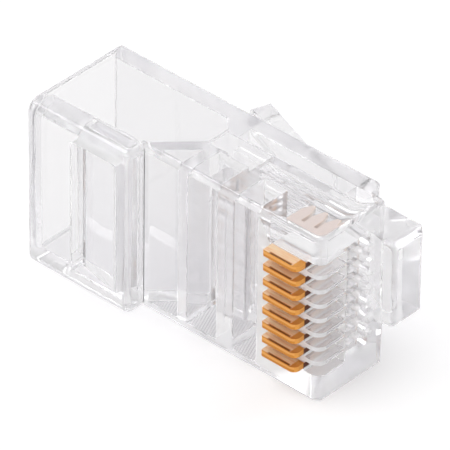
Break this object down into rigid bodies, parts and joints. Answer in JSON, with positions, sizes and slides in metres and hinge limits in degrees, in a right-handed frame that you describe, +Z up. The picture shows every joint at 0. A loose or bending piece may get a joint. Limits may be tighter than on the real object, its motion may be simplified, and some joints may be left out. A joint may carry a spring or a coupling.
{
  "type": "rj45 modular plug",
  "caption": "Clear uncrimped modular network plug with a sprung latch lever, folding clamp bars and gold blade contacts that slide down when crimped.",
  "frame": {"origin": "middle of the housing's lower side wall, on the surface that the plug lies on", "axes": "+X from the cable end to the nose, +Y from the contact side to the latch side, +Z up across the plug's width"},
  "size_m": [0.0223, 0.0139, 0.0117],
  "materials": {
    "clear_plastic": "clear polished polycarbonate",
    "contact_metal": "gold plated phosphor bronze"
  },
  "bodies": {
    "housing": {"housing": "clear_plastic"},
    "latch_lever": {"latch_lever": "clear_plastic"},
    "cable_clamp": {"cable_clamp": "clear_plastic"},
    "conductor_clamp": {"conductor_clamp": "clear_plastic"},
    "contact_1": {"contact_1": "contact_metal"},
    "contact_2": {"contact_2": "contact_metal"},
    "contact_3": {"contact_3": "contact_metal"},
    "contact_4": {"contact_4": "contact_metal"},
    "contact_5": {"contact_5": "contact_metal"},
    "contact_6": {"contact_6": "contact_metal"},
    "contact_7": {"contact_7": "contact_metal"},
    "contact_8": {"contact_8": "contact_metal"}
  },
  "joints": [
    {"name": "latch_press", "type": "hinge", "parent": "housing", "child": "latch_lever", "pos_m": [0.00744, 0.00347, 0.00584], "axis": [0, 0, 1], "range_deg": [0, 17], "stiffness_Nm_per_rad": 0.004},
    {"name": "cable_clamp_fold", "type": "hinge", "parent": "housing", "child": "cable_clamp", "pos_m": [-0.00373, -0.0043, 0.00584], "axis": [0, 0, -1], "range_deg": [0, 18]},
    {"name": "conductor_clamp_fold", "type": "hinge", "parent": "housing", "child": "conductor_clamp", "pos_m": [0.00277, -0.00135, 0.00584], "axis": [0, 0, -1], "range_deg": [0, 15]},
    {"name": "contact_1_crimp", "type": "slide", "parent": "housing", "child": "contact_1", "axis": [0, 1, 0], "range_m": [0, 0.0014]},
    {"name": "contact_2_crimp", "type": "slide", "parent": "housing", "child": "contact_2", "axis": [0, 1, 0], "range_m": [0, 0.0014]},
    {"name": "contact_3_crimp", "type": "slide", "parent": "housing", "child": "contact_3", "axis": [0, 1, 0], "range_m": [0, 0.0014]},
    {"name": "contact_4_crimp", "type": "slide", "parent": "housing", "child": "contact_4", "axis": [0, 1, 0], "range_m": [0, 0.0014]},
    {"name": "contact_5_crimp", "type": "slide", "parent": "housing", "child": "contact_5", "axis": [0, 1, 0], "range_m": [0, 0.0014]},
    {"name": "contact_6_crimp", "type": "slide", "parent": "housing", "child": "contact_6", "axis": [0, 1, 0], "range_m": [0, 0.0014]},
    {"name": "contact_7_crimp", "type": "slide", "parent": "housing", "child": "contact_7", "axis": [0, 1, 0], "range_m": [0, 0.0014]},
    {"name": "contact_8_crimp", "type": "slide", "parent": "housing", "child": "contact_8", "axis": [0, 1, 0], "range_m": [0, 0.0014]}
  ]
}
